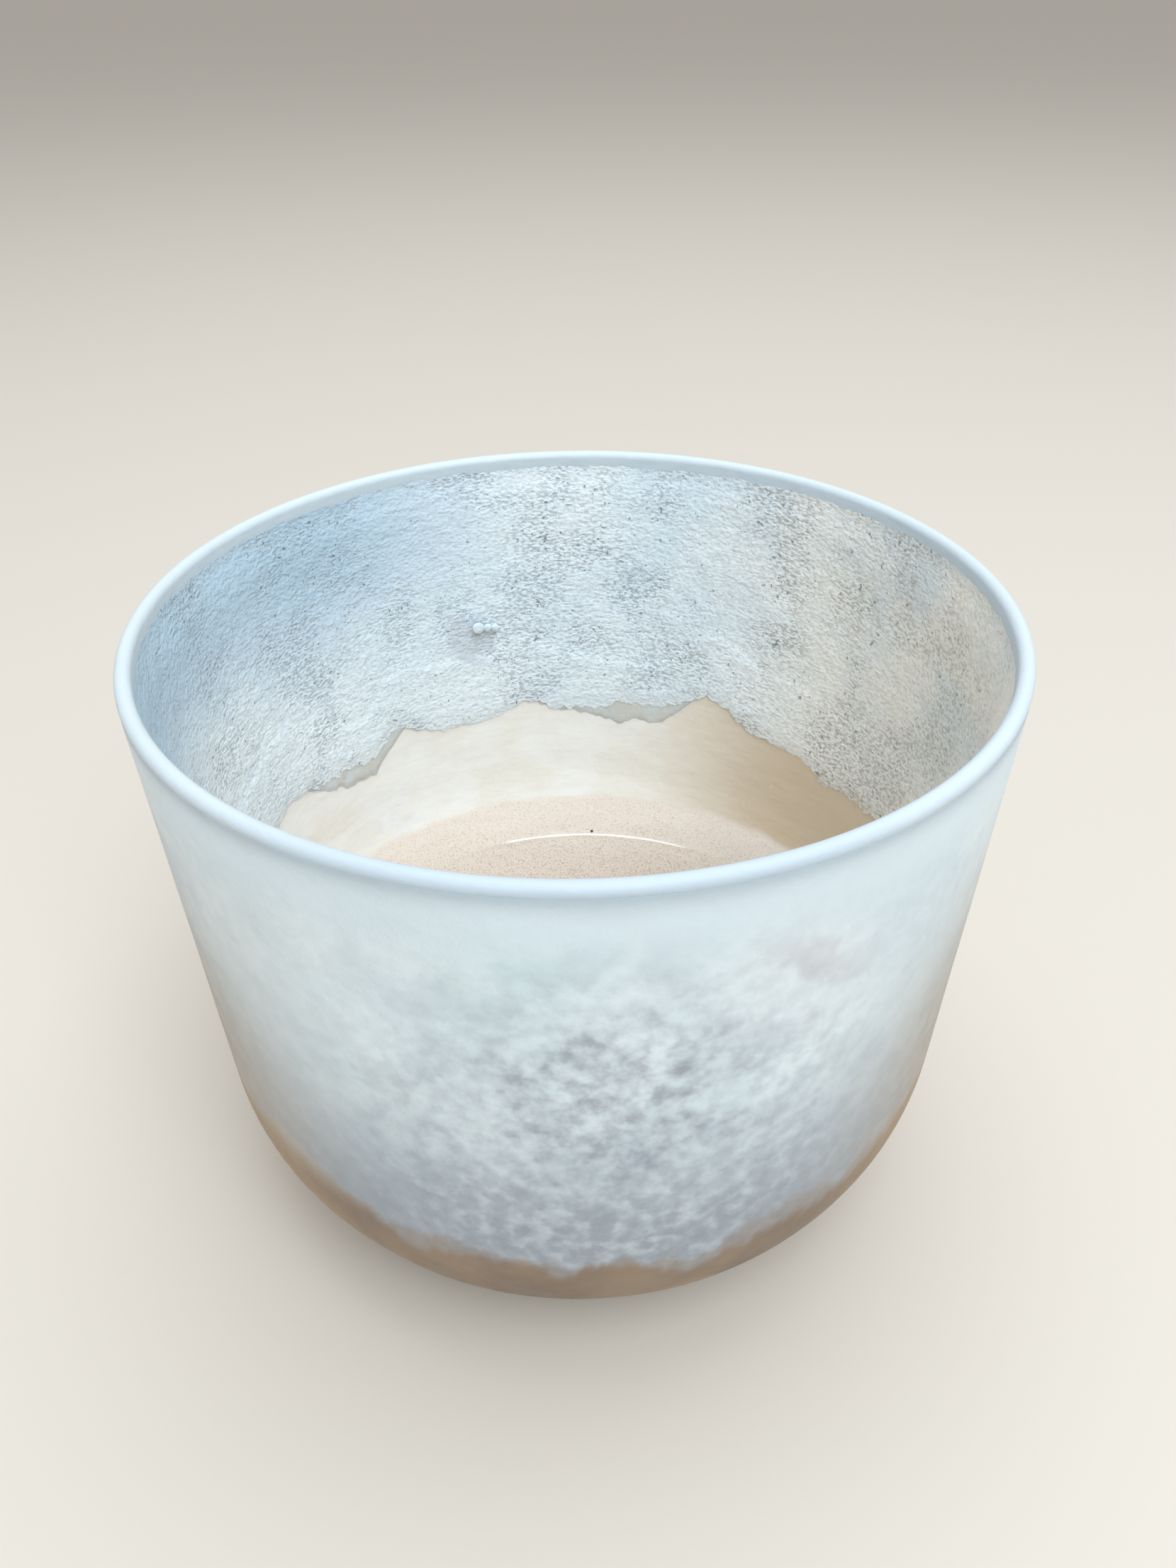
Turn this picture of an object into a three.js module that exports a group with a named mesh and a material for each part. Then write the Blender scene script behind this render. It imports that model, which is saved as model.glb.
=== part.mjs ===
// A frosted crystal singing bowl: a cup of fused quartz with a sandy frosted skin outside,
// a granular frit coat fused to its inside wall over a thinner wash coat, and three fused beads.
// Millimetres, +Z up. The origin is the centre of the flat foot; -Y is the front.

import * as THREE from "three";

// Driving dimensions of the bowl
const RIM_DIAMETER = 254; // over the outside of the rim
const HEIGHT = 210; // from the foot to the top of the rim
const WALL = 4.5; // full wall, frosted skin included
const FLOOR = 5.5; // quartz under the middle of the hollow
const LEAN_DEGREES = 2.35; // how far the wall leans out from upright
const CORNER_RADIUS = 76.5; // outside corner between the foot and the wall

// The frosted skin
const SKIN_THICKNESS = 0.6;
const RIM_BAND = 3; // smooth bare quartz between the skin and the top of the rim
const SKIN_LIFT = 0.35; // the skin stops this far above the surface that the foot stands on

// The coats on the inside wall
const FRIT_THICKNESS = 1.0;
const FRIT_TOP_DROP = 5; // from the top of the rim down to the frit coat
const FRIT_EDGE_HEIGHT = 87; // mean height of the frit coat's lower edge
const FRIT_EDGE_TILT = 13; // the edge is this much higher at the back, and lower at the front
const WASH_THICKNESS = 0.4;
const WASH_BAND = 28; // how far the wash coat reaches up behind the frit coat
const WASH_TUCK = 3; // where it doesn't show, the wash coat ends this far above the frit's edge

// The gap that is left between two fused layers
const GAP = 0.3;

// How finely round shapes are cut
const SEGMENTS = 80;
const CORNER_STEPS = 10;
const RIM_STEPS = 6;
const FRIT_ROWS = 8;
const WASH_ROWS = 4;
const BEAD_SIDES = 12;
const BEAD_RINGS = 8;

// Runs and bites of the frit coat's lower edge: where round the bowl (degrees, counter-clockwise
// from +X seen from above), how far each lifts the edge, and over how many degrees it fades
const FRIT_LOBES = [
  { at: 62, rise: 14, spread: 8 },
  { at: 78, rise: 6, spread: 9 },
  { at: 99, rise: 6, spread: 5 },
  { at: 127, rise: 9, spread: 8 },
  { at: 141, rise: 5, spread: 6 },
  { at: 156, rise: 11, spread: 9 },
  { at: 46, rise: 4, spread: 7 },
  { at: 22, rise: 6, spread: 14 },
  { at: -50, rise: -2, spread: 6 },
  { at: -62, rise: 4, spread: 6 },
  { at: -78, rise: -7, spread: 8 },
  { at: -93, rise: -6, spread: 3 },
  { at: -134, rise: 10, spread: 9 },
];

// Small nibbles all along the edge, as waves: their depth, how many go round, where they start
const NIBBLES = [
  { depth: 0.9, waves: 17, start: 1.3 },
  { depth: 0.6, waves: 29, start: 0 },
];

// Where the wash coat runs out below the frit coat
const WASH_LOBES = [
  { at: 78, rise: -13, spread: 12 },
  { at: 136, rise: -13, spread: 10 },
  { at: -64, rise: -9, spread: 12 },
  { at: -110, rise: -7, spread: 9 },
];

// Fused beads, side by side on the inside wall from left to right
const BEADS_START = 109.3; // where round the bowl the first one sits, in degrees
const BEADS = [
  { name: "bead_left", height: 144.2, radius: 2.1 },
  { name: "bead_middle", height: 143.6, radius: 1.5 },
  { name: "bead_right", height: 142.9, radius: 1.2 },
];
const BEAD_FLATNESS = 0.6; // a bead's reach out from the wall over its radius

const LEAN = THREE.MathUtils.degToRad(LEAN_DEGREES);
const FULL_TURN = 360;
const HALF_TURN = 180;

const QUARTZ = new THREE.MeshStandardMaterial({ color: 0xdce6e8, roughness: 0.15, metalness: 0 });
const FROST = new THREE.MeshStandardMaterial({ color: 0xc9d6da, roughness: 0.6, metalness: 0 });
const FRIT = new THREE.MeshStandardMaterial({ color: 0xd6e4e8, roughness: 0.85, metalness: 0 });
const WASH = new THREE.MeshStandardMaterial({ color: 0xd9dfd8, roughness: 0.7, metalness: 0 });
const BEAD = new THREE.MeshStandardMaterial({ color: 0xe6f4f6, roughness: 0.4, metalness: 0 });

// One cup-shaped surface of the bowl, set in from the outermost one by "inset" at the wall and
// raised by "floor" at the base, with a corner arc that touches both.
function cupSurface(inset, floor, corner) {
  const topRadius = RIM_DIAMETER / 2 - inset / Math.cos(LEAN);
  const wallRadius = (height) => topRadius - (HEIGHT - height) * Math.tan(LEAN);
  const centreHeight = floor + corner;
  const centreRadius = wallRadius(centreHeight) - corner / Math.cos(LEAN);
  const joinHeight = centreHeight - corner * Math.sin(LEAN);

  function radiusAt(height) {
    if (height >= joinHeight) return wallRadius(height);
    return centreRadius + Math.sqrt(corner ** 2 - (centreHeight - height) ** 2);
  }

  // The corner from the given radius out to where the wall begins
  function cornerArc(fromRadius) {
    const start = Math.asin(Math.max(0, (fromRadius - centreRadius) / corner));
    const end = Math.PI / 2 - LEAN;
    const points = [];
    for (let step = 0; step <= CORNER_STEPS; step += 1) {
      const turn = start + ((end - start) * step) / CORNER_STEPS;
      const radius = centreRadius + corner * Math.sin(turn);
      points.push(new THREE.Vector2(radius, centreHeight - corner * Math.cos(turn)));
    }
    return points;
  }

  return { radiusAt, cornerArc, centreRadius };
}

const SKIN_DEPTH = SKIN_THICKNESS + GAP;
const outerFace = cupSurface(0, 0, CORNER_RADIUS);
const skinBack = cupSurface(SKIN_THICKNESS, SKIN_THICKNESS, CORNER_RADIUS - SKIN_THICKNESS);
const shellOuterFace = cupSurface(SKIN_DEPTH, SKIN_DEPTH, CORNER_RADIUS - SKIN_DEPTH);

// A surface inside the hollow, "rise" in from the quartz
function hollowSurface(rise) {
  return cupSurface(WALL + rise, FLOOR + rise, CORNER_RADIUS - WALL - rise);
}
const shellInnerFace = hollowSurface(0);

// The skin stops where its outside has come down to SKIN_LIFT, round the edge of the foot
const SKIN_EDGE_RADIUS =
  outerFace.centreRadius + Math.sqrt(CORNER_RADIUS ** 2 - (CORNER_RADIUS - SKIN_LIFT) ** 2);
const FOOT_RADIUS = SKIN_EDGE_RADIUS - GAP;
const SKIN_TOP = HEIGHT - RIM_BAND;

function named(geometry, name, material) {
  const mesh = new THREE.Mesh(geometry, material);
  mesh.name = name;
  return mesh;
}

// A lathe turned about +Z, from a profile of (radius, height) points
function turned(points) {
  return new THREE.LatheGeometry(points, SEGMENTS).rotateX(Math.PI / 2);
}

// The rim: half a turn of a circle from the outside face over to the inside face
function rimArc() {
  const lip = WALL / 2;
  const crown = HEIGHT - lip;
  const middle = outerFace.radiusAt(crown) - lip;
  const points = [];
  for (let step = 0; step <= RIM_STEPS; step += 1) {
    const turn = (Math.PI * step) / RIM_STEPS;
    points.push(new THREE.Vector2(middle + lip * Math.cos(turn), crown + lip * Math.sin(turn)));
  }
  return points;
}

// The clear quartz body: flat foot, rebate for the skin, rounded rim, smooth hollow
function quartzShell() {
  const point = (radius, height) => new THREE.Vector2(radius, height);
  const rebateTop = SKIN_TOP + GAP;
  const profile = [
    point(0, 0),
    point(FOOT_RADIUS, 0),
    ...shellOuterFace.cornerArc(FOOT_RADIUS),
    point(shellOuterFace.radiusAt(rebateTop), rebateTop),
    point(outerFace.radiusAt(rebateTop), rebateTop),
    ...rimArc(),
    ...shellInnerFace.cornerArc(0).reverse(),
    point(0, FLOOR),
  ];
  return named(turned(profile), "quartz_shell", QUARTZ);
}

// The part-fused sand skin, from the edge of the foot to just under the rim
function frostedSkin() {
  const profile = [
    ...outerFace.cornerArc(SKIN_EDGE_RADIUS),
    new THREE.Vector2(outerFace.radiusAt(SKIN_TOP), SKIN_TOP),
    new THREE.Vector2(skinBack.radiusAt(SKIN_TOP), SKIN_TOP),
    ...skinBack.cornerArc(SKIN_EDGE_RADIUS).reverse(),
  ];
  profile.push(profile[0].clone());
  return named(turned(profile), "frosted_skin", FROST);
}

// How far the lobes lift an edge at an angle, in degrees
function lobeRise(lobes, angle) {
  let rise = 0;
  for (const lobe of lobes) {
    const apart = angle - lobe.at + FULL_TURN + HALF_TURN;
    const away = ((apart % FULL_TURN) - HALF_TURN) / lobe.spread;
    rise += lobe.rise * Math.exp(-away * away);
  }
  return rise;
}

// The height of the frit coat's lower edge
function fritEdge(angle) {
  const around = THREE.MathUtils.degToRad(angle);
  let height = FRIT_EDGE_HEIGHT + FRIT_EDGE_TILT * Math.sin(around) + lobeRise(FRIT_LOBES, angle);
  for (const { depth, waves, start } of NIBBLES) height += depth * Math.sin(waves * around + start);
  return height;
}

// The height of the wash coat's lower edge, tied to the frit coat's
function washEdge(angle) {
  return fritEdge(angle) + WASH_TUCK + lobeRise(WASH_LOBES, angle);
}

// A coat on the inside wall between two surfaces of the hollow. Its lower and upper edges are
// functions of the angle, and its rows crowd towards the lower edge, where the wall curves.
// It is turned as a unit ring first, front at radius 1 and back at radius 2, and then placed.
function wallCoat(back, front, lowerEdge, upperEdge, rows) {
  const frontRing = 1;
  const backRing = 2;
  const share = (row) => (row / rows) ** 2;
  const profile = [];
  for (let row = 0; row <= rows; row += 1) profile.push(new THREE.Vector2(backRing, share(row)));
  for (let row = rows; row >= 0; row -= 1) profile.push(new THREE.Vector2(frontRing, share(row)));
  profile.push(profile[0].clone());

  const geometry = turned(profile);
  const place = geometry.getAttribute("position");
  for (let index = 0; index < place.count; index += 1) {
    const around = Math.atan2(place.getY(index), place.getX(index));
    const angle = THREE.MathUtils.radToDeg(around);
    const low = lowerEdge(angle);
    const height = low + place.getZ(index) * (upperEdge(angle) - low);
    const onBack = Math.hypot(place.getX(index), place.getY(index)) > (frontRing + backRing) / 2;
    const radius = (onBack ? back : front).radiusAt(height);
    place.setXYZ(index, radius * Math.cos(around), radius * Math.sin(around), height);
  }
  return geometry;
}

const WASH_FACE = GAP + WASH_THICKNESS;
const FRIT_BACK = WASH_FACE + GAP;
const FRIT_FACE = FRIT_BACK + FRIT_THICKNESS;

function washCoat() {
  const upperEdge = (angle) => washEdge(angle) + WASH_BAND;
  const geometry = wallCoat(hollowSurface(GAP), hollowSurface(WASH_FACE), washEdge, upperEdge, WASH_ROWS);
  return named(geometry, "wash_coat", WASH);
}

function fritLining() {
  const upperEdge = () => HEIGHT - FRIT_TOP_DROP;
  const faces = [hollowSurface(FRIT_BACK), hollowSurface(FRIT_FACE)];
  return named(wallCoat(...faces, fritEdge, upperEdge, FRIT_ROWS), "frit_lining", FRIT);
}

// Flattened beads that sit on the face of the frit coat, each next to the one before
function fusedBeads() {
  let around = THREE.MathUtils.degToRad(BEADS_START);
  let lastRadius = 0;
  return BEADS.map(({ name, height, radius }) => {
    const reach = radius * BEAD_FLATNESS;
    const seat = hollowSurface(FRIT_FACE + GAP + reach).radiusAt(height);
    if (lastRadius > 0) around -= (lastRadius + GAP + radius) / seat;
    lastRadius = radius;

    const geometry = new THREE.SphereGeometry(radius, BEAD_SIDES, BEAD_RINGS);
    geometry.scale(BEAD_FLATNESS, 1, 1);
    const mesh = named(geometry, name, BEAD);
    mesh.position.set(seat * Math.cos(around), seat * Math.sin(around), height);
    mesh.rotation.z = around;
    return mesh;
  });
}

const bowl = new THREE.Group();
bowl.name = "singing_bowl";
bowl.add(quartzShell(), frostedSkin(), washCoat(), fritLining(), ...fusedBeads());

export default bowl;
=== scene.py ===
# A frosted crystal singing bowl: a fused-quartz cup with a sandy frosted skin outside, and a
# granular frit coat over a thin wash coat inside. Everything is in metres, +Z up, -Y in front.

import math

import bmesh
import bpy
from mathutils import Matrix, Vector, noise


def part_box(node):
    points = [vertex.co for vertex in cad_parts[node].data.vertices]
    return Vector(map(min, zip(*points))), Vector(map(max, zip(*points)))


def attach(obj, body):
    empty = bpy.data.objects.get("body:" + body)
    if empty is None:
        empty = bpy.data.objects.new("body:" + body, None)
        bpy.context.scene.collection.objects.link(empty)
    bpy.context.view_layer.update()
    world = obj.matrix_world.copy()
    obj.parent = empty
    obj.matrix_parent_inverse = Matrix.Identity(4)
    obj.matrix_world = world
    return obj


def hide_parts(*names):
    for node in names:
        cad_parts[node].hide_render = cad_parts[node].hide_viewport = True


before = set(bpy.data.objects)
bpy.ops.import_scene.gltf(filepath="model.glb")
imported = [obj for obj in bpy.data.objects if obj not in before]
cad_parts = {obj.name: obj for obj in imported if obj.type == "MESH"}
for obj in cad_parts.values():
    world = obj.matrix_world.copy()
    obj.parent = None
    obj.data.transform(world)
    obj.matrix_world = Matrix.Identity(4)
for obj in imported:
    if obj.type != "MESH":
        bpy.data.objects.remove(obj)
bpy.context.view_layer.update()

MM = 0.001

# ---- Sizes of the bowl, from the frame and the bowl's own dimensions ----

shell_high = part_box("quartz_shell")[1]
skin_low, skin_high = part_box("frosted_skin")
frit_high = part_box("frit_lining")[1]

WALL = 4.5 * MM
FLOOR = 5.5 * MM
LEAN = math.radians(2.35)
CORNER_RADIUS = 76.5 * MM
SKIN_THICKNESS = 0.6 * MM
FRIT_THICKNESS = 1.0 * MM
WASH_THICKNESS = 0.4 * MM
GAP = 0.3 * MM

HEIGHT = shell_high.z
RIM_RADIUS = shell_high.x + WALL / 2 * math.tan(LEAN)
SKIN_TOP = skin_high.z
SKIN_EDGE_HEIGHT = skin_low.z
FRIT_TOP = frit_high.z

# The frit coat's lower edge: where round the bowl in degrees, how far it lifts the edge in
# millimetres, over how many degrees it fades
FRIT_EDGE_HEIGHT = 87
FRIT_EDGE_TILT = 13
FRIT_LOBES = (
    (62, 14, 8), (78, 6, 9), (99, 6, 5), (127, 9, 8), (141, 5, 6), (156, 11, 9), (46, 4, 7),
    (22, 6, 14), (-50, -2, 6), (-62, 4, 6), (-78, -7, 8), (-93, -6, 3), (-134, 10, 9),
)
WASH_TUCK = 3
WASH_LOBES = ((78, -13, 12), (136, -13, 10), (-64, -9, 12), (-110, -7, 9))
EDGE_WAVES = ((0.9, 17, 1.3), (0.6, 29, 0.0))


class CupSurface:
    """One cup-shaped surface of the bowl: inset at the wall, raised at the base, round at the corner."""

    def __init__(self, inset, rise, corner):
        self.top_radius = RIM_RADIUS - inset / math.cos(LEAN)
        self.corner = corner
        self.centre_height = rise + corner
        self.centre_radius = self.wall_radius(self.centre_height) - corner / math.cos(LEAN)
        self.join_height = self.centre_height - corner * math.sin(LEAN)

    def wall_radius(self, height):
        return self.top_radius - (HEIGHT - height) * math.tan(LEAN)

    def radius(self, height):
        if height >= self.join_height:
            return self.wall_radius(height)
        drop = self.centre_height - height
        return self.centre_radius + math.sqrt(max(0.0, self.corner**2 - drop**2))

    def corner_arc(self, start_radius, steps):
        """(radius, height) points along the corner, from a radius out to where the wall begins."""
        start = math.asin(max(0.0, (start_radius - self.centre_radius) / self.corner))
        end = math.pi / 2 - LEAN
        turns = [start + (end - start) * step / steps for step in range(steps + 1)]
        return [
            (self.centre_radius + self.corner * math.sin(turn),
             self.centre_height - self.corner * math.cos(turn))
            for turn in turns
        ]


def hollow_surface(rise):
    """A surface inside the hollow, rise in from the bare quartz."""
    return CupSurface(WALL + rise, FLOOR + rise, CORNER_RADIUS - WALL - rise)


def outside_surface(depth):
    """A surface under the outermost one, depth in from it."""
    return CupSurface(depth, depth, CORNER_RADIUS - depth)


HAIR_GAP = 0.02 * MM
outer_face = outside_surface(0)
skin_back = outside_surface(SKIN_THICKNESS)
under_skin = outside_surface(SKIN_THICKNESS + HAIR_GAP)
bare_hollow = hollow_surface(0)


# ---- Small helpers ----

def smooth(low, high, value):
    """0 below low, 1 above high, and an even S between them."""
    share = min(1.0, max(0.0, (value - low) / (high - low)))
    return share * share * (3 - 2 * share)


def grain_at(place, pitch, seed=0.0):
    """Smooth noise from -1 to 1 with features about one pitch across."""
    return noise.noise(place / pitch + Vector((seed, seed * 0.7, seed * 1.3)))


def per_column(function):
    """The function of an angle, worked out once for each column of a turned mesh."""
    known = {}

    def looked_up(around):
        key = round(around, 4)
        if key not in known:
            known[key] = function(around)
        return known[key]

    return looked_up


def lobe_rise(lobes, degrees):
    total = 0.0
    for at, rise, spread in lobes:
        away = ((degrees - at + 540) % 360 - 180) / spread
        total += rise * math.exp(-away * away)
    return total


@per_column
def frit_edge(around):
    """Height of the frit coat's lower edge at an angle in radians."""
    degrees = math.degrees(around)
    height = FRIT_EDGE_HEIGHT + FRIT_EDGE_TILT * math.sin(around) + lobe_rise(FRIT_LOBES, degrees)
    for depth, waves, start in EDGE_WAVES:
        height += depth * math.sin(waves * around + start)
    return height * MM


@per_column
def wash_edge(around):
    return frit_edge(around) + (WASH_TUCK + lobe_rise(WASH_LOBES, math.degrees(around))) * MM


# Chips of a coat's edge, in millimetres: how deep and how wide
CHIPS = ((2.2, 9), (2.0, 3.5), (1.1, 1.6))


def ragged(seed):
    """Fine tooth of a coat's edge, in metres, as a function of the angle."""
    reach = bare_hollow.radius(FRIT_EDGE_HEIGHT * MM)

    @per_column
    def tooth(around):
        on_wall = Vector((math.cos(around), math.sin(around), 0)) * reach
        return sum(deep * grain_at(on_wall, wide * MM, seed) for deep, wide in CHIPS) * MM

    return tooth


frit_tooth = ragged(1)
wash_tooth = ragged(2)
brush_tooth = ragged(7)


# ---- Making pieces ----

TURN_DOUBLINGS = 5


def turned(outline, steps, closed=False):
    """A bmesh turned about +Z from an outline of (radius, height) points.

    A narrow slice is spun and then doubled round the axis, which is much quicker than one long
    spin. The steps are a multiple of the number of slices.
    """
    bm = bmesh.new()
    verts = [bm.verts.new((radius, 0, height)) for radius, height in outline]
    edges = [bm.edges.new(pair) for pair in zip(verts, verts[1:])]
    if closed:
        edges.append(bm.edges.new((verts[-1], verts[0])))
    slices = 2**TURN_DOUBLINGS
    angle = math.tau / slices
    bmesh.ops.spin(
        bm, geom=verts + edges, cent=(0, 0, 0), axis=(0, 0, 1), angle=angle, steps=steps // slices,
    )
    for _ in range(TURN_DOUBLINGS):
        copy = bmesh.ops.duplicate(bm, geom=bm.verts[:] + bm.edges[:] + bm.faces[:])["geom"]
        moved = [item for item in copy if isinstance(item, bmesh.types.BMVert)]
        bmesh.ops.rotate(bm, verts=moved, cent=(0, 0, 0), matrix=Matrix.Rotation(angle, 3, "Z"))
        angle *= 2
    bmesh.ops.remove_doubles(bm, verts=bm.verts, dist=0.001 * MM)
    return bm


SHARP_TURN = math.radians(50)


def finished(bm, name, node, material):
    """The object of a finished bmesh: it rides on the body, and stands for its CAD node."""
    bmesh.ops.recalc_face_normals(bm, faces=bm.faces)
    for face in bm.faces:
        face.smooth = True
    for edge in bm.edges:
        edge.smooth = edge.calc_face_angle(0.0) < SHARP_TURN
    mesh = bpy.data.meshes.new(name)
    bm.to_mesh(mesh)
    bm.free()
    mesh.materials.append(material)
    piece = bpy.data.objects.new(name, mesh)
    bpy.context.scene.collection.objects.link(piece)
    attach(piece, "root")
    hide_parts(node)
    return piece


def between(start, end, steps):
    """Values from start to end, the start left out."""
    return [start + (end - start) * step / steps for step in range(1, steps + 1)]


# ---- The clear quartz body ----

BODY_SIDES = 384
RIM_STEPS = 16
CORNER_ROWS = 110
WITNESS_HEIGHT = 42 * MM
WITNESS_FROM = math.radians(62)
WITNESS_TO = math.radians(110)
WITNESS_FADE = 0.2
RIPPLE_TOP = 130 * MM
FINE_WALL_FOOT = 120 * MM
SKIN_FEATHER = 9 * MM


def skin_depth(height):
    """Thickness of the skin near its top, where it feathers out."""
    return SKIN_THICKNESS * (0.04 + 0.96 * smooth(0, SKIN_FEATHER, SKIN_TOP - height))


def body_outline():
    foot_radius = outer_face.radius(SKIN_EDGE_HEIGHT) - GAP
    edge_round = 0.25 * MM
    lip = WALL / 2
    crown = HEIGHT - lip
    middle = outer_face.radius(crown) - lip
    outline = [(0, 0), (foot_radius - edge_round, 0), (foot_radius, edge_round)]
    outline += under_skin.corner_arc(foot_radius, 16)
    feather_foot = SKIN_TOP - SKIN_FEATHER
    outline += [(under_skin.radius(z), z) for z in between(outline[-1][1], feather_foot, 6)]
    for z in between(feather_foot, SKIN_TOP, 8):
        outline.append((outer_face.radius(z) - skin_depth(z) - HAIR_GAP, z))
    for step in range(RIM_STEPS + 1):
        turn = math.pi * step / RIM_STEPS
        outline.append((middle + lip * math.cos(turn), crown + lip * math.sin(turn)))
    wall_foot = bare_hollow.join_height
    outline += [(bare_hollow.radius(z), z) for z in between(crown, FINE_WALL_FOOT, 12)]
    outline += [(bare_hollow.radius(z), z) for z in between(FINE_WALL_FOOT, wall_foot, 30)][:-1]
    outline += reversed(bare_hollow.corner_arc(0, CORNER_ROWS))
    outline.append((0, FLOOR))
    return outline


def ripple_bare_quartz(bm):
    """Gentle waves and wrinkles that the spinning melt left in the hollow, and a fine witness line."""
    for vert in bm.verts:
        place = vert.co.copy()
        radius = math.hypot(place.x, place.y)
        if place.z < FLOOR - 0.1 * MM or radius < 1 * MM or place.z > RIPPLE_TOP:
            continue
        if radius > bare_hollow.radius(place.z) + 1.5 * MM:
            continue
        around = math.atan2(place.y, place.x)
        stretched = Vector((place.x, place.y, place.z * 2.6))
        wave = 0.30 * grain_at(stretched, 26 * MM, 3) + 0.10 * grain_at(stretched, 7 * MM, 5)
        along = smooth(WITNESS_FROM - WITNESS_FADE, WITNESS_FROM, around)
        along -= smooth(WITNESS_TO, WITNESS_TO + WITNESS_FADE, around)
        line = 0.30 * along * math.exp(-((place.z - WITNESS_HEIGHT) / (0.8 * MM)) ** 2)
        inward = (wave * smooth(2 * MM, 30 * MM, radius) + line) * MM
        vert.co.x -= inward * math.cos(around)
        vert.co.y -= inward * math.sin(around)


def quartz_body():
    bm = turned(body_outline(), BODY_SIDES)
    ripple_bare_quartz(bm)
    return finished(bm, "quartz_body", "quartz_shell", clear_quartz())


# ---- The frosted skin ----

SKIN_SIDES = 480

# A crusty patch low on the side, where the sand has hardly melted
CRUST_ANGLE = math.radians(-146)
CRUST_SPREAD = math.radians(16)
CRUST_HEIGHT = 48 * MM
CRUST_TALL = 16 * MM

# The inside coats as they show through the wall: softer than they are, and more ragged
SHOWN_BLUR = 2.6 * MM
SHOWN_TOOTH = 1.6
WASH_REACH = 4 * MM
WASH_SHARE = 0.45


def skin_outline():
    edge_radius = outer_face.radius(SKIN_EDGE_HEIGHT)
    outline = outer_face.corner_arc(edge_radius, 58)
    outline += [(outer_face.radius(z), z) for z in between(outline[-1][1], SKIN_TOP, 68)]
    back = skin_back.corner_arc(edge_radius, 10)
    feather_foot = SKIN_TOP - SKIN_FEATHER
    back += [(skin_back.radius(z), z) for z in between(back[-1][1], feather_foot, 6)]
    back += [(outer_face.radius(z) - skin_depth(z), z) for z in between(feather_foot, SKIN_TOP, 8)]
    return outline + back[::-1]


def sand_skin(bm):
    """Fine sand grains on the outside, coarser low down, and how much coat lies behind each point."""
    behind = bm.verts.layers.float.new("coat_behind")
    for vert in bm.verts:
        place = vert.co.copy()
        radius = math.hypot(place.x, place.y)
        around = math.atan2(place.y, place.x)
        low = frit_edge(around) + SHOWN_TOOTH * frit_tooth(around)
        thin = wash_edge(around) + SHOWN_TOOTH * wash_tooth(around) - WASH_REACH
        cover = smooth(low - SHOWN_BLUR, low + SHOWN_BLUR, place.z)
        film = WASH_SHARE * smooth(thin - SHOWN_BLUR, thin + SHOWN_BLUR, place.z)
        vert[behind] = max(cover, film)
        if radius < outer_face.radius(place.z) - skin_depth(place.z) / 2:
            continue
        low_down = 1 - smooth(20 * MM, 90 * MM, place.z)
        off = (around - CRUST_ANGLE) / CRUST_SPREAD
        crusty = math.exp(-off * off) * math.exp(-(((place.z - CRUST_HEIGHT) / CRUST_TALL) ** 2))
        grains = 0.5 * grain_at(place, 2.2 * MM, 11) + 0.5 * grain_at(place, 4.5 * MM, 12)
        swell = 0.12 * grain_at(place, 30 * MM, 13)
        out = (0.03 + 0.05 * low_down + 0.5 * crusty) * grains * MM
        out += swell * smooth(0, 10 * MM, SKIN_TOP - place.z) * MM
        foot_guard = smooth(0.5 * MM, 4 * MM, place.z)
        tilt = max(0.0, min(1.0, (outer_face.centre_height - place.z) / CORNER_RADIUS))
        flat = math.sqrt(max(0.0, 1 - tilt * tilt))
        vert.co.x += out * foot_guard * flat * math.cos(around)
        vert.co.y += out * foot_guard * flat * math.sin(around)
        vert.co.z -= out * foot_guard * tilt


def frost_skin():
    bm = turned(skin_outline(), SKIN_SIDES, closed=True)
    sand_skin(bm)
    return finished(bm, "frost_skin", "frosted_skin", frosted_quartz())


# ---- The coats on the inside wall ----

FRONT_RING = 0.1
BACK_RING = 0.2
FRIT_SIDES = 1088
FRIT_ROWS = 64
FRIT_BACK_ROWS = 12
WASH_SIDES = 544
WASH_ROWS = 20
WASH_BACK_ROWS = 6
WASH_BAND = 26 * MM


def wash_thickness(around, height):
    """Thickness of the wash coat's room on the wall, none above and below it."""
    edge = wash_edge(around)
    under = smooth(edge - 3 * MM, edge - 1 * MM, height)
    return WASH_THICKNESS * under * (1 - smooth(edge + WASH_BAND, edge + WASH_BAND + 3 * MM, height))


def coat_band(sides, rows, back_rows, low_edge, high_edge, back_rise, front_rise):
    """A closed coat on the wall. It is turned as a unit ring, and then each point is placed."""
    outline = [(FRONT_RING, row / rows) for row in range(rows + 1)]
    outline += [(BACK_RING, row / back_rows) for row in range(back_rows, -1, -1)]
    bm = turned(outline, sides, closed=True)
    for vert in bm.verts:
        around = math.atan2(vert.co.y, vert.co.x)
        low = low_edge(around)
        high = high_edge(around)
        on_front = math.hypot(vert.co.x, vert.co.y) < (FRONT_RING + BACK_RING) / 2
        height = low + vert.co.z * (high - low)
        radius = bare_hollow.radius(height) - back_rise(around, height)
        if on_front:
            place = Vector((radius * math.cos(around), radius * math.sin(around), height))
            radius -= front_rise(place, height - low, high - height)
        vert.co = Vector((radius * math.cos(around), radius * math.sin(around), height))
    return bm


def frit_rise(place, over_low, under_high):
    """Thickness of the frit coat at a point: thin at its edges, lumpy all over."""
    body = (0.25 + 0.75 * smooth(0, 7 * MM, over_low)) * (0.06 + 0.94 * smooth(0, 12 * MM, under_high))
    swell = 0.22 * grain_at(place, 17 * MM, 21)
    lumps = 0.20 * grain_at(place, 5 * MM, 22)
    return max(0.04, body * (0.95 + swell + lumps)) * FRIT_THICKNESS


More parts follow.
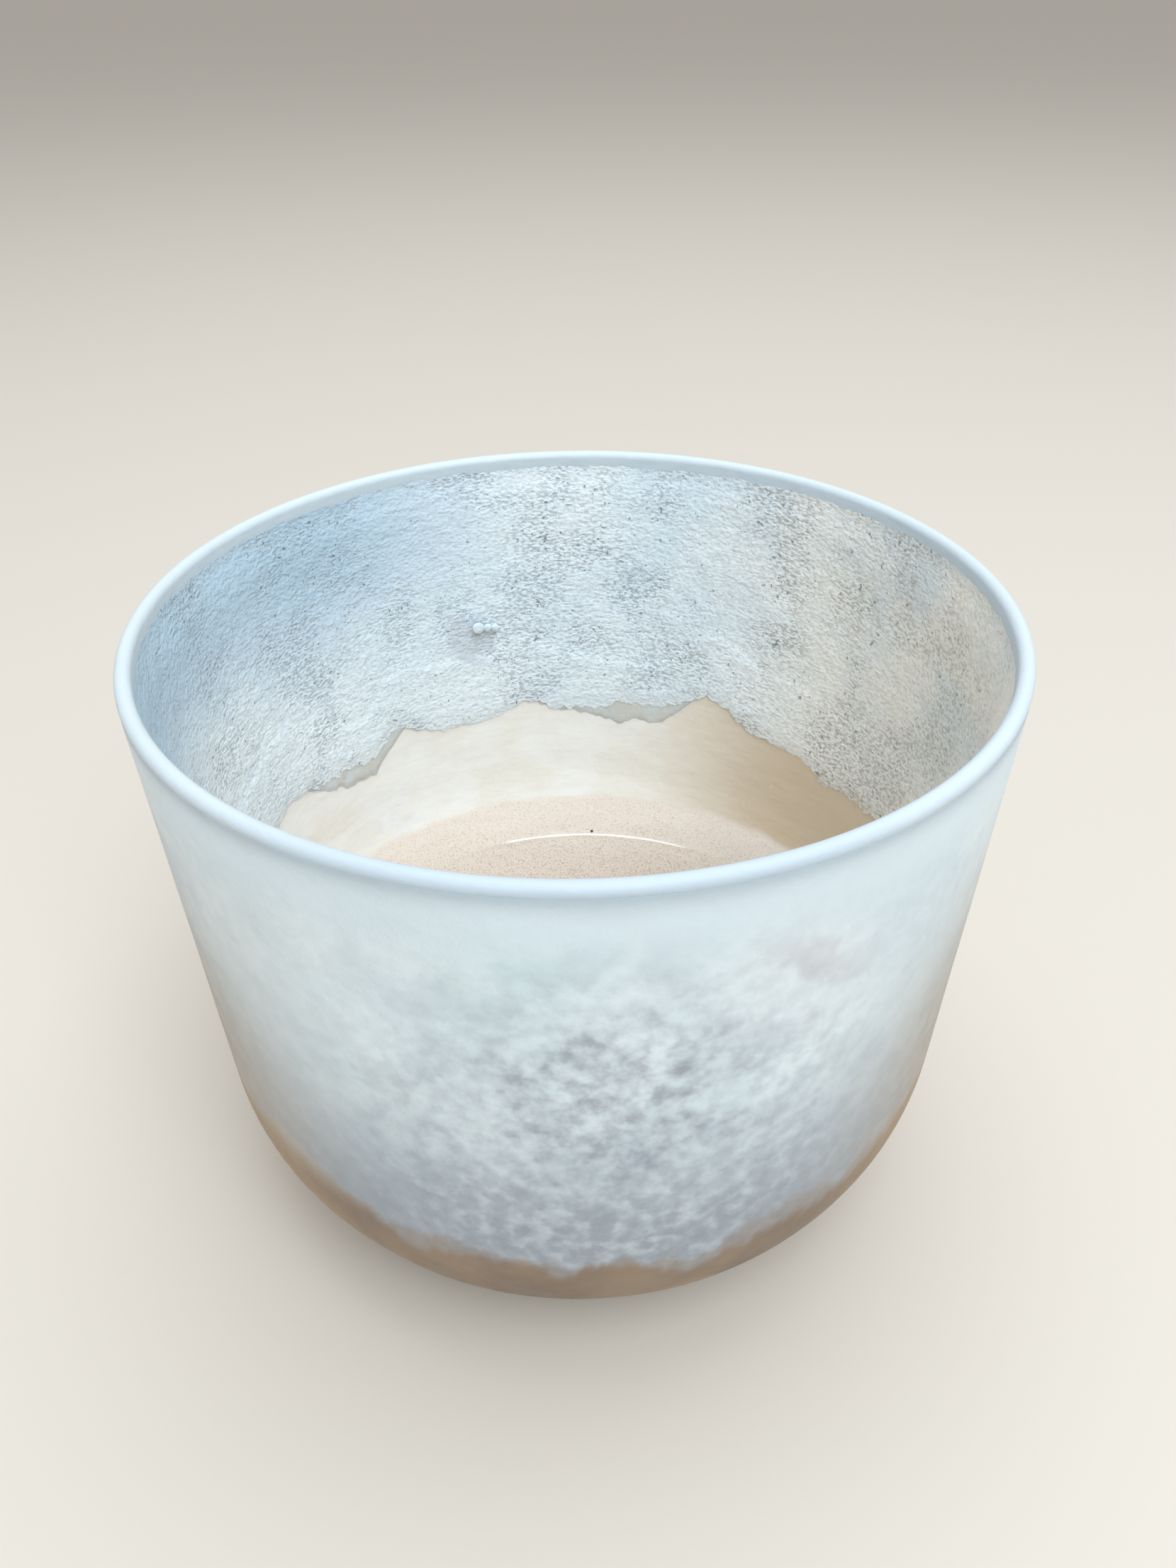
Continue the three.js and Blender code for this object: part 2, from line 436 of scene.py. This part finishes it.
def frit_coat():
    bm = coat_band(
        FRIT_SIDES, FRIT_ROWS, FRIT_BACK_ROWS,
        lambda around: frit_edge(around) + frit_tooth(around),
        lambda around: FRIT_TOP + 0.3 * brush_tooth(around),
        lambda around, height: 2 * HAIR_GAP + 1.1 * wash_thickness(around, height),
        frit_rise,
    )
    return finished(bm, "frit_coat", "frit_lining", quartz_frit())


def wash_rise(place, over_low, under_high):
    """Thickness of the wash coat at a point: feathered at both edges."""
    body = (0.15 + 0.75 * smooth(0, 3 * MM, over_low)) * (0.1 + 0.9 * smooth(0, 3 * MM, under_high))
    return body * (1 - 0.1 * grain_at(place, 9 * MM, 31)) * WASH_THICKNESS


def wash_film():
    bm = coat_band(
        WASH_SIDES, WASH_ROWS, WASH_BACK_ROWS,
        lambda around: wash_edge(around) + wash_tooth(around),
        lambda around: wash_edge(around) + WASH_BAND,
        lambda around, height: HAIR_GAP,
        wash_rise,
    )
    return finished(bm, "wash_film", "wash_coat", quartz_wash())


# ---- The three fused droplets ----

BEADS = (
    ("droplet_left", "bead_left", 2.3 * MM),
    ("droplet_middle", "bead_middle", 1.6 * MM),
    ("droplet_right", "bead_right", 1.6 * MM),
)
BEAD_FLATNESS = 0.6


def droplet(name, node, radius, material):
    """A flattened drop with a spread foot, melted onto the frit coat where the CAD bead sits."""
    low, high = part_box(node)
    centre = (low + high) / 2
    around = math.atan2(centre.y, centre.x)
    bm = bmesh.new()
    bmesh.ops.create_icosphere(bm, subdivisions=5, radius=radius)
    for vert in bm.verts:
        to_wall = vert.co.x / radius
        foot = 1 + 0.10 * smooth(0.1, 0.9, to_wall)
        dent = 1 + 0.05 * grain_at(vert.co + centre, 2.4 * MM, 41)
        vert.co = Vector((vert.co.x * BEAD_FLATNESS, vert.co.y * foot, vert.co.z * foot)) * dent
    bmesh.ops.transform(
        bm, verts=bm.verts, matrix=Matrix.Translation(centre) @ Matrix.Rotation(around, 4, "Z")
    )
    return finished(bm, name, node, material)


# ---- Materials ----

def colour(red, green, blue):
    """A colour given as 0 to 255 screen values, in the linear light that shaders take."""
    def linear(value):
        share = value / 255
        return share / 12.92 if share <= 0.04045 else ((share + 0.055) / 1.055) ** 2.4
    return (linear(red), linear(green), linear(blue), 1.0)


class Nodes:
    """Adds nodes to a tree. A value given to a node is a number, a colour or another node's socket."""

    def __init__(self, tree):
        self.tree = tree
        self.tree.nodes.clear()

    def add(self, kind, values=(), **settings):
        node = self.tree.nodes.new(kind)
        for name, value in settings.items():
            setattr(node, name, value)
        for name, value in dict(values).items():
            self.give(node.inputs[name], value)
        return node

    def give(self, socket, value):
        if isinstance(value, bpy.types.NodeSocket):
            self.tree.links.new(value, socket)
        else:
            socket.default_value = value

    def place(self):
        return self.add("ShaderNodeTexCoord").outputs["Object"]

    def axes(self):
        """The place on the bowl as its X, Y and Z, in metres."""
        return self.add("ShaderNodeSeparateXYZ", {"Vector": self.place()}).outputs

    def calc(self, operation, first, second=0.0):
        node = self.add("ShaderNodeMath", operation=operation)
        self.give(node.inputs[0], first)
        self.give(node.inputs[1], second)
        return node.outputs[0]

    def times(self, first, second):
        return self.calc("MULTIPLY", first, second)

    def plus(self, first, second):
        return self.calc("ADD", first, second)

    def ramp(self, value, low, high, start=0.0, end=1.0):
        """start where value is below low, end above high, and a soft S between them."""
        node = self.add(
            "ShaderNodeMapRange",
            {"Value": value, "From Min": low, "From Max": high, "To Min": start, "To Max": end},
            interpolation_type="SMOOTHSTEP",
        )
        return node.outputs["Result"]

    def mix(self, mask, bottom, top):
        node = self.add("ShaderNodeMix", data_type="RGBA")
        for socket, value in ((node.inputs[0], mask), (node.inputs[6], bottom), (node.inputs[7], top)):
            self.give(socket, value)
        return node.outputs[2]

    def noise(self, size, detail=2.0, stretch=(1, 1, 1)):
        """Noise from 0 to 1 with features of that size in metres."""
        place = self.add("ShaderNodeMapping", {"Vector": self.place(), "Scale": stretch}).outputs[0]
        scale = self.calc("DIVIDE", 1.0, size) if isinstance(size, bpy.types.NodeSocket) else 1 / size
        return self.add(
            "ShaderNodeTexNoise", {"Vector": place, "Scale": scale, "Detail": detail}
        ).outputs["Fac"]

    def effect(self, group, values=()):
        """A shared effect's node, with its own values."""
        node = self.tree.nodes.new("ShaderNodeGroup")
        node.node_tree = group
        for name, value in dict(values).items():
            self.give(node.inputs[name], value)
        return node

    def cloudy(self, size, low, high):
        """A mask of soft clouds about that size."""
        return self.effect(clouds, {"Size": size, "Low": low, "High": high}).outputs["Mask"]

    def near(self, centre, reach):
        """A mask that is 1 at the centre and 0 from reach away."""
        return self.effect(patch, {"Centre": centre, "Reach": reach}).outputs["Mask"]


def shared_effect(name, inputs, outputs):
    """An empty node group with named number inputs and outputs, and the ends of its inside."""
    group = bpy.data.node_groups.new(name, "ShaderNodeTree")
    nodes = Nodes(group)
    for socket in inputs:
        kind = "NodeSocketVector" if socket == "Centre" else "NodeSocketFloat"
        group.interface.new_socket(name=socket, in_out="INPUT", socket_type=kind)
    for socket in outputs:
        group.interface.new_socket(name=socket, in_out="OUTPUT", socket_type="NodeSocketFloat")
    return group, nodes, nodes.add("NodeGroupInput").outputs, nodes.add("NodeGroupOutput").inputs


def cloud_effect():
    """Soft clouds: Mask goes from 0 to 1 as the noise passes from Low to High."""
    group, nodes, given, out = shared_effect("soft_clouds", ("Size", "Low", "High"), ("Mask",))
    nodes.give(out["Mask"], nodes.ramp(nodes.noise(given["Size"], 3.0), given["Low"], given["High"]))
    return group


def speck_effect():
    """Scattered specks: about Share of the cells of that Size hold one."""
    group, nodes, given, out = shared_effect("scattered_specks", ("Size", "Share"), ("Mask",))
    cells = nodes.add(
        "ShaderNodeTexVoronoi",
        {"Vector": nodes.place(), "Scale": nodes.calc("DIVIDE", 1.0, given["Size"])},
    )
    chosen = nodes.calc("LESS_THAN", cells.outputs["Color"], given["Share"])
    near = nodes.ramp(cells.outputs["Distance"], 0.18, 0.42, 1.0, 0.0)
    nodes.give(out["Mask"], nodes.times(near, chosen))
    return group


def grain_effect():
    """Fused sand grains: Height is the top of each grain, Pits is 1 in the hollows between some."""
    group, nodes, given, out = shared_effect("fused_grains", ("Size",), ("Height", "Pits"))
    cells = nodes.add(
        "ShaderNodeTexVoronoi",
        {"Vector": nodes.place(), "Scale": nodes.calc("DIVIDE", 1.0, given["Size"]), "Smoothness": 0.6},
        feature="SMOOTH_F1",
    )
    dome = nodes.ramp(cells.outputs["Distance"], 0.05, 0.75, 1.0, 0.0)
    uneven = nodes.noise(nodes.times(given["Size"], 2.5), 3.0)
    nodes.give(out["Height"], nodes.plus(nodes.times(dome, 0.6), nodes.times(uneven, 0.4)))
    nodes.give(out["Pits"], nodes.ramp(uneven, 0.60, 0.72))
    return group


def patch_effect():
    """A soft round patch: 1 at Centre, 0 from Reach away."""
    group, nodes, given, out = shared_effect("soft_patch", ("Centre", "Reach"), ("Mask",))
    away = nodes.add("ShaderNodeVectorMath", operation="DISTANCE")
    nodes.give(away.inputs[0], nodes.place())
    nodes.give(away.inputs[1], given["Centre"])
    nodes.give(out["Mask"], nodes.ramp(away.outputs["Value"], 0.0, given["Reach"], 1.0, 0.0))
    return group


clouds = cloud_effect()
specks = speck_effect()
grains = grain_effect()
patch = patch_effect()

SCATTER = (1.0, 1.0, 1.0)
QUARTZ_IOR = 1.46


def surface(name):
    """A new material and its nodes, with an empty Principled shader on the output."""
    material = bpy.data.materials.new(name)
    material.use_nodes = True
    nodes = Nodes(material.node_tree)
    shader = nodes.add("ShaderNodeBsdfPrincipled", {"IOR": QUARTZ_IOR})
    nodes.add("ShaderNodeOutputMaterial", {"Surface": shader.outputs[0]})
    return material, nodes, shader


def milky(shader, weight, depth):
    """Light that goes into the quartz and comes out up to depth metres away."""
    shader.inputs["Subsurface Weight"].default_value = weight
    shader.inputs["Subsurface Radius"].default_value = SCATTER
    shader.inputs["Subsurface Scale"].default_value = depth


def bumped(nodes, shader, layers):
    """Feeds Normal with bumps laid one on another: each is a height and its depth in metres."""
    normal = None
    for height, depth in layers:
        bump = nodes.add("ShaderNodeBump", {"Strength": 1.0, "Distance": depth, "Height": height})
        if normal is not None:
            nodes.give(bump.inputs["Normal"], normal)
        normal = bump.outputs[0]
    nodes.give(shader.inputs["Normal"], normal)


RIM_BLUE = colour(202, 215, 223)
RIM_FRONT_PAINTED_SHADE = colour(192, 206, 217)
WARM_CREAM = colour(250, 250, 245)
TAN_SHADE = colour(216, 197, 170)
COOL_PAINTED_REFLECTION = colour(240, 247, 252)
PINK_BASE = colour(242, 232, 222)
PINK_PAINTED_SHADE = colour(208, 195, 182)
SPECK_BROWN = colour(172, 153, 140)
INCLUSION_DARK = colour(70, 60, 54)
PAINTED_HIGHLIGHT = colour(255, 253, 248)
GROUND_FOOT = colour(196, 192, 186)
BASE_ZONE_HEIGHT = 59 * MM
INCLUSION_HEIGHT = 43.2 * MM
INCLUSION_ANGLE = math.radians(86.9)
INCLUSION_REACH = 1.15 * MM
PAINTED_REFLECTION_PLACE = (-66 * MM, 72 * MM, 68 * MM)


def clear_quartz():
    """Blue-white at the rim, cream on the bare wall, pinkish and finely speckled in the base."""
    material, nodes, shader = surface("clear_quartz")
    where = nodes.axes()
    height = where["Z"]
    side = where["X"]
    cloud = nodes.cloudy(22 * MM, 0.35, 0.65)
    wrinkle = nodes.noise(9 * MM, 4.0, (1, 1, 2.2))
    wall = nodes.mix(nodes.ramp(side, 10 * MM, 92 * MM, 0.0, 0.95), WARM_CREAM, TAN_SHADE)
    # A cool, streaky patch on the left of the bare wall: a painted reflection.
    painted_reflection = nodes.near(PAINTED_REFLECTION_PLACE, 36 * MM)
    streak = nodes.ramp(nodes.noise(3.5 * MM, 3.0, (0.7, 0.7, 2.0)), 0.42, 0.60)
    wall = nodes.mix(nodes.times(nodes.ramp(painted_reflection, 0.1, 0.7), streak), wall, COOL_PAINTED_REFLECTION)
    wall = nodes.mix(nodes.times(cloud, 0.18), wall, TAN_SHADE)
    fine = nodes.ramp(nodes.noise(0.62 * MM, 1.0), 0.52, 0.68)
    coarse = nodes.effect(specks, {"Size": 1.8 * MM, "Share": 0.13}).outputs["Mask"]
    low_part = nodes.ramp(height, 55 * MM, 22 * MM, 0.30, 0.90)
    # The base turns darker towards the bottom of the hollow: painted shade.
    base = nodes.mix(nodes.ramp(height, 58 * MM, 24 * MM), PINK_BASE, PINK_PAINTED_SHADE)
    base = nodes.mix(nodes.times(fine, low_part), base, SPECK_BROWN)
    base = nodes.mix(nodes.times(coarse, nodes.times(low_part, 0.6)), base, SPECK_BROWN)
    # A thin bright arc along the witness line, on the back half: a painted highlight.
    at_line = nodes.calc("ABSOLUTE", nodes.calc("SUBTRACT", height, WITNESS_HEIGHT))
    painted_highlight = nodes.ramp(at_line, 0.25 * MM, 0.5 * MM, 1.0, 0.0)
    painted_highlight = nodes.times(painted_highlight, nodes.ramp(side, -36 * MM, -27 * MM))
    painted_highlight = nodes.times(painted_highlight, nodes.ramp(side, 40 * MM, 50 * MM, 1.0, 0.0))
    painted_highlight = nodes.times(painted_highlight, nodes.calc("GREATER_THAN", where["Y"], 0.0))
    base = nodes.mix(painted_highlight, base, PAINTED_HIGHLIGHT)
    out = bare_hollow.radius(INCLUSION_HEIGHT)
    spot = (out * math.cos(INCLUSION_ANGLE), out * math.sin(INCLUSION_ANGLE), INCLUSION_HEIGHT)
    inclusion = nodes.near(spot, INCLUSION_REACH)
    base = nodes.mix(nodes.ramp(inclusion, 0.25, 0.6), base, INCLUSION_DARK)
    edge = nodes.plus(height, nodes.times(nodes.noise(14 * MM), 3 * MM))
    in_wall = nodes.ramp(edge, BASE_ZONE_HEIGHT - 1 * MM, BASE_ZONE_HEIGHT + 3 * MM)
    inside = nodes.mix(in_wall, base, wall)
    low = nodes.mix(nodes.ramp(height, 4.0 * MM, 5.0 * MM), GROUND_FOOT, inside)
    # The rim turns darker on its front side: painted shade.
    rim = nodes.mix(nodes.ramp(where["Y"], -90 * MM, -124 * MM), RIM_BLUE, RIM_FRONT_PAINTED_SHADE)
    shown = nodes.mix(nodes.ramp(height, 150 * MM, 180 * MM), low, rim)
    nodes.give(shader.inputs["Base Color"], shown)
    rough = nodes.ramp(height, 4.0 * MM, 5.0 * MM, 0.60, 0.52)
    rough = nodes.calc("SUBTRACT", rough, nodes.times(in_wall, 0.30))
    rough = nodes.plus(rough, nodes.ramp(height, 195 * MM, 204 * MM, 0.0, 0.26))
    nodes.give(shader.inputs["Roughness"], nodes.plus(rough, nodes.times(cloud, 0.06)))
    milky(shader, 0.35, 2.5 * MM)
    bumped(nodes, shader, ((wrinkle, 0.35 * MM), (nodes.noise(1.8 * MM), 0.05 * MM)))
    return material


BARE_PAINTED_SHADE_BROWN = colour(128, 111, 96)
BARE_PAINTED_SHADE_TAN = colour(158, 135, 110)
BARE_SIDE_PAINTED_REFLECTION = colour(172, 145, 114)
BARE_MILK = colour(202, 200, 194)
BARE_LIGHT = colour(190, 180, 172)
FROST_WHITE = colour(232, 248, 255)
FROST_BLUE = colour(214, 234, 245)
FROST_TOP = colour(224, 243, 255)
FROST_GREY = colour(150, 158, 167)
FROST_PAINTED_WARM_REFLECTION = colour(176, 162, 144)
FROST_SHADE = colour(138, 142, 154)
FROST_LIGHT = colour(228, 240, 248)
FROST_GREEN = colour(212, 240, 236)
FROST_ROSE = colour(224, 218, 220)
MOTTLED_FRONT = (8 * MM, -122 * MM, 120 * MM)
MOTTLED_HEART = (6 * MM, -124 * MM, 140 * MM)
TINTED_PLACES = (
    ((-14 * MM, -126 * MM, 192 * MM), FROST_GREEN),
    ((50 * MM, -112 * MM, 172 * MM), FROST_ROSE),
)
TINT_REACH = 34 * MM


def frosted_quartz():
    """Satin white over the coat behind, mottled in front, with painted shade and a painted warm
    reflection low down, and grey-brown painted shade where nothing lies behind.
    """
    material, nodes, shader = surface("frosted_quartz")
    where = nodes.axes()
    height = where["Z"]
    behind = nodes.add("ShaderNodeAttribute", attribute_name="coat_behind").outputs["Fac"]
    broad = nodes.cloudy(40 * MM, 0.38, 0.62)
    cloud = nodes.cloudy(14 * MM, 0.36, 0.64)
    mottle = nodes.cloudy(4.5 * MM, 0.28, 0.76)
    flake = nodes.cloudy(5 * MM, 0.36, 0.78)
    front = nodes.near(MOTTLED_FRONT, 110 * MM)
    heart = nodes.near(MOTTLED_HEART, 52 * MM)
    heart = nodes.ramp(nodes.plus(heart, nodes.times(cloud, 0.35)), 0.35, 0.95)
    coat = nodes.mix(nodes.times(broad, 0.6), FROST_WHITE, FROST_BLUE)
    # Greyer lower down: painted shade.
    coat = nodes.mix(nodes.ramp(height, 155 * MM, 76 * MM, 0.0, 0.95), coat, FROST_GREY)
    # Warmer low on the left and right sides: a painted warm reflection.
    side_reflection = nodes.ramp(nodes.calc("ABSOLUTE", where["X"]), 50 * MM, 120 * MM)
    low_down = nodes.ramp(height, 200 * MM, 110 * MM)
    coat = nodes.mix(nodes.times(side_reflection, nodes.times(low_down, 0.9)), coat, FROST_PAINTED_WARM_REFLECTION)
    for centre, tint in TINTED_PLACES:
        tinted = nodes.near(centre, TINT_REACH)
        coat = nodes.mix(nodes.times(tinted, nodes.ramp(cloud, 0.0, 1.0, 0.2, 0.6)), coat, tint)
    coat = nodes.mix(nodes.times(cloud, nodes.ramp(front, 0.0, 0.6, 0.10, 0.32)), coat, FROST_GREY)
    dark = nodes.plus(nodes.ramp(front, 0.1, 0.8, 0.10, 0.42), nodes.times(heart, 0.38))
    coat = nodes.mix(nodes.times(mottle, dark), coat, FROST_SHADE)
    coat = nodes.mix(nodes.times(flake, nodes.ramp(front, 0.1, 0.8, 0.08, 0.46)), coat, FROST_LIGHT)
    # Where nothing lies behind, grey-brown and tan: painted shade, with painted warm light from below
    # seen through the clear quartz.
    bare = nodes.mix(nodes.times(broad, 0.6), BARE_PAINTED_SHADE_BROWN, BARE_PAINTED_SHADE_TAN)
    # Warmer at the sides: a painted warm reflection.
    bare = nodes.mix(nodes.times(side_reflection, 0.8), bare, BARE_SIDE_PAINTED_REFLECTION)
    # Lighter towards the foot: a painted highlight along the lowest outline.
    bare = nodes.mix(nodes.ramp(height, 24 * MM, 11 * MM, 0.0, 0.7), bare, BARE_LIGHT)
    to_back = nodes.ramp(where["Y"], -30 * MM, 50 * MM, 0.0, 0.75)
    milk = nodes.calc("MAXIMUM", to_back, nodes.ramp(height, 68 * MM, 96 * MM, 0.0, 0.85))
    bare = nodes.mix(milk, bare, nodes.mix(broad, BARE_MILK, BARE_LIGHT))
    shown = nodes.mix(behind, bare, coat)
    shown = nodes.mix(nodes.ramp(height, 180 * MM, 205 * MM), shown, FROST_TOP)
    nodes.give(shader.inputs["Base Color"], shown)
    nodes.give(shader.inputs["Roughness"], nodes.ramp(cloud, 0.0, 1.0, 0.50, 0.60))
    milky(shader, 0.4, 2.5 * MM)
    sand = nodes.effect(grains, {"Size": 0.9 * MM}).outputs["Height"]
    bumped(nodes, shader, ((cloud, 0.10 * MM), (mottle, 0.06 * MM), (sand, 0.04 * MM)))
    return material


FRIT_WHITE = colour(240, 250, 255)
FRIT_BLUE = colour(194, 220, 238)
FRIT_SHADE = colour(174, 206, 228)
FRIT_GREY = colour(182, 198, 210)
FRIT_PAINTED_WARM_SHADE = colour(196, 194, 186)
FRIT_DARK = colour(118, 128, 138)
FRIT_SMOOTH = colour(206, 214, 222)
FRIT_PAINTED_WARM_LIGHT = colour(250, 244, 232)
CALM_PLACE = (-43 * MM, 112 * MM, 138 * MM)


def quartz_frit():
    """Pale worm-like grains with blue-grey hollows between them. Dark pits crowd in some places."""
    material, nodes, shader = surface("quartz_frit")
    where = nodes.axes()
    crowd = nodes.cloudy(30 * MM, 0.38, 0.64)
    cluster = nodes.cloudy(9 * MM, 0.46, 0.66)
    broad = nodes.cloudy(55 * MM, 0.38, 0.62)
    worms = nodes.noise(1.35 * MM, 3.0, (0.8, 0.8, 1.3))
    grain = nodes.effect(grains, {"Size": 1.5 * MM})
    deep = nodes.noise(1.7 * MM, 1.0)
    # Warmer towards the right side: painted warm light.
    base = nodes.mix(nodes.ramp(where["X"], 40 * MM, 125 * MM), FRIT_WHITE, FRIT_PAINTED_WARM_LIGHT)
    to_left = nodes.ramp(where["X"], -10 * MM, -90 * MM, 0.0, 0.8)
    corner = nodes.times(to_left, nodes.ramp(where["Z"], 140 * MM, 190 * MM))
    high_up = nodes.ramp(where["Z"], 110 * MM, 195 * MM, 0.15, 0.45)
    base = nodes.mix(nodes.times(broad, high_up), base, FRIT_BLUE)
    base = nodes.mix(corner, base, FRIT_SHADE)
    sharp = nodes.ramp(where["Y"], -50 * MM, 20 * MM, 0.35, 1.0)
    strength = nodes.times(sharp, nodes.ramp(crowd, 0.0, 1.0, 0.32, 0.88))
    hollows = nodes.ramp(worms, 0.44, 0.63)
    # The hollows turn warm towards the right side: painted warm light.
    shade = nodes.mix(nodes.ramp(where["X"], 10 * MM, 100 * MM), FRIT_GREY, FRIT_PAINTED_WARM_SHADE)
    coat = nodes.mix(nodes.times(hollows, strength), base, shade)
    thick = nodes.plus(nodes.times(crowd, 0.05), nodes.times(cluster, 0.07))
    pits = nodes.ramp(nodes.plus(deep, thick), 0.73, 0.80)
    coat = nodes.mix(nodes.times(pits, nodes.times(sharp, 0.75)), coat, FRIT_DARK)
    calm = nodes.plus(nodes.near(CALM_PLACE, 20 * MM), nodes.noise(5 * MM, 5.0))
    coat = nodes.mix(nodes.ramp(calm, 0.85, 1.15, 0.0, 0.70), coat, FRIT_SMOOTH)
    coat = nodes.mix(nodes.ramp(where["Z"], 205 * MM, 207 * MM), coat, RIM_BLUE)
    nodes.give(shader.inputs["Base Color"], coat)
    nodes.give(shader.inputs["Roughness"], nodes.ramp(grain.outputs["Height"], 0.2, 0.9, 0.55, 0.32))
    milky(shader, 0.12, 0.6 * MM)
    relief = nodes.times(worms, strength)
    bumped(nodes, shader, (
        (nodes.noise(12 * MM, 3.0), 0.4 * MM), (nodes.noise(4 * MM, 3.0, (0.7, 0.7, 1.4)), 0.7 * MM),
        (relief, -1.25 * MM), (grain.outputs["Height"], 0.2 * MM),
    ))
    return material


WASH_MILK = colour(230, 238, 238)
WASH_CREAM = colour(224, 226, 218)


def quartz_wash():
    """A thin, even milky film with faint tan in its pits."""
    material, nodes, shader = surface("quartz_wash")
    cloud = nodes.cloudy(8 * MM, 0.38, 0.62)
    grain = nodes.effect(grains, {"Size": 1.2 * MM})
    film = nodes.mix(cloud, WASH_MILK, WASH_CREAM)
    film = nodes.mix(nodes.times(grain.outputs["Pits"], 0.3), film, TAN_SHADE)
    nodes.give(shader.inputs["Base Color"], film)
    nodes.give(shader.inputs["Roughness"], nodes.ramp(cloud, 0.0, 1.0, 0.28, 0.40))
    milky(shader, 0.4, 3 * MM)
    bumped(nodes, shader, ((cloud, 0.15 * MM), (grain.outputs["Height"], 0.06 * MM)))
    return material


BEAD_CLEAR = colour(232, 242, 247)
BEAD_SHADE = colour(206, 220, 228)


def fused_bead():
    """Smooth, glossy milk-white glass."""
    material, nodes, shader = surface("fused_bead")
    cloud = nodes.cloudy(2 * MM, 0.40, 0.60)
    nodes.give(shader.inputs["Base Color"], nodes.mix(cloud, BEAD_CLEAR, BEAD_SHADE))
    nodes.give(shader.inputs["Roughness"], nodes.ramp(cloud, 0.0, 1.0, 0.08, 0.16))
    milky(shader, 0.5, 1.5 * MM)
    bumped(nodes, shader, ((nodes.noise(1.2 * MM), 0.05 * MM),))
    return material


quartz_body()
frost_skin()
frit_coat()
wash_film()
bead_glass = fused_bead()
for name, node, radius in BEADS:
    droplet(name, node, radius, bead_glass)


# ---- Floor, light and camera ----

FLOOR_SPAN = 60.0
FLOOR_PALE = colour(214, 208, 199)
FLOOR_SHADE = colour(203, 196, 187)


def pale_floor():
    bm = bmesh.new()
    bmesh.ops.create_grid(bm, x_segments=1, y_segments=1, size=FLOOR_SPAN / 2)
    mesh = bpy.data.meshes.new("pale_floor")
    bm.to_mesh(mesh)
    bm.free()
    floor = bpy.data.objects.new("pale_floor", mesh)
    bpy.context.scene.collection.objects.link(floor)
    material, nodes, shader = surface("pale_paper")
    tone = nodes.times(nodes.noise(0.6, 2.0), 0.1)
    nodes.give(shader.inputs["Base Color"], nodes.mix(tone, FLOOR_PALE, FLOOR_SHADE))
    shader.inputs["Roughness"].default_value = 0.8
    mesh.materials.append(material)


ROOM_TINT = (1.0, 0.985, 0.965)
ROOM_STRENGTH = 0.55
LIT_POINT = (0, 0, 0.1)

# Each light's name, place in metres, side in metres, power in watts and tint
LIGHTS = (
    ("front_window", (0.5, -1.5, 2.4), 1.6, 51, (0.87, 0.95, 1.0)),
    ("ceiling", (0.2, 0.3, 2.6), 2.0, 30, (0.95, 0.98, 1.0)),
)


def soft_light(name, place, size, power, tint):
    """A large square area light that looks at the bowl."""
    lamp = bpy.data.lights.new(name, "AREA")
    lamp.shape = "SQUARE"
    lamp.size = size
    lamp.energy = power
    lamp.color = tint
    light = bpy.data.objects.new(name, lamp)
    light.location = place
    ahead = Vector(LIT_POINT) - Vector(place)
    light.rotation_euler = ahead.to_track_quat("-Z", "Y").to_euler()
    bpy.context.scene.collection.objects.link(light)


def room_light(tint, strength):
    world = bpy.data.worlds.new("soft_room")
    world.use_nodes = True
    back = world.node_tree.nodes["Background"]
    back.inputs["Color"].default_value = (*tint, 1.0)
    back.inputs["Strength"].default_value = strength
    bpy.context.scene.world = world


SENSOR_HEIGHT = 36.0
LENS = 27.03
CAMERA_PLACE = (0.0, -0.3067, 0.3630)
CAMERA_PITCH = math.radians(35.331)
CAMERA_PAN = math.radians(0.603)
CAMERA_ROLL = math.radians(-0.535)


def camera():
    data = bpy.data.cameras.new("camera")
    data.sensor_fit = "VERTICAL"
    data.sensor_height = SENSOR_HEIGHT
    data.lens = LENS
    data.clip_start = 0.01
    data.clip_end = 200.0
    ahead = Vector((
        math.sin(CAMERA_PAN) * math.cos(CAMERA_PITCH),
        math.cos(CAMERA_PAN) * math.cos(CAMERA_PITCH),
        -math.sin(CAMERA_PITCH),
    ))
    across = ahead.cross(Vector((0, 0, 1))).normalized()
    up = across.cross(ahead)
    right = math.cos(CAMERA_ROLL) * across + math.sin(CAMERA_ROLL) * up
    top = math.cos(CAMERA_ROLL) * up - math.sin(CAMERA_ROLL) * across
    turn = Matrix((right, top, -ahead)).transposed().to_4x4()
    eye = bpy.data.objects.new("camera", data)
    eye.matrix_world = Matrix.Translation(Vector(CAMERA_PLACE)) @ turn
    bpy.context.scene.collection.objects.link(eye)
    bpy.context.scene.camera = eye


pale_floor()
room_light(ROOM_TINT, ROOM_STRENGTH)
for light_values in LIGHTS:
    soft_light(*light_values)
camera()
bpy.context.scene.view_settings.view_transform = "Standard"

bpy.context.view_layer.update()
